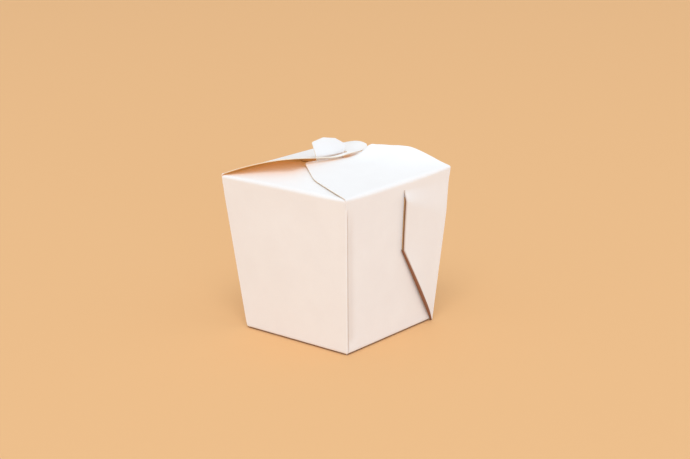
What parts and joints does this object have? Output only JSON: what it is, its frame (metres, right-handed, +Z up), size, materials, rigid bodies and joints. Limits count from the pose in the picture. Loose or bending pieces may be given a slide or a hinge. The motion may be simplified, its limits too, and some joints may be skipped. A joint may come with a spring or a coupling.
{
  "type": "takeout food box",
  "caption": "Folded paperboard takeout food box with leaning walls, wrapped corner webs and a four-flap top closed by a tab standing up through a slotted lid flap",
  "frame": {"origin": "middle of the base, on the surface the box stands on", "axes": "+Z up; +X to the wall under the right-hand flap with the tab, whose opposite wall carries the slotted flap; -Y to the front wall; the base is square to X and Y"},
  "size_m": [0.0988, 0.0969, 0.1157],
  "materials": {
    "coated_board": "white clay-coated board outside, natural kraft inside"
  },
  "bodies": {
    "carton": {"carton": "coated_board"},
    "slotted_flap": {"slotted_flap": "coated_board"}
  },
  "joints": [
    {"name": "slotted_flap_hinge", "type": "hinge", "parent": "carton", "child": "slotted_flap", "pos_m": [-0.0487, 0, 0.097], "axis": [0, -1, 0], "range_deg": [0, 140]}
  ]
}
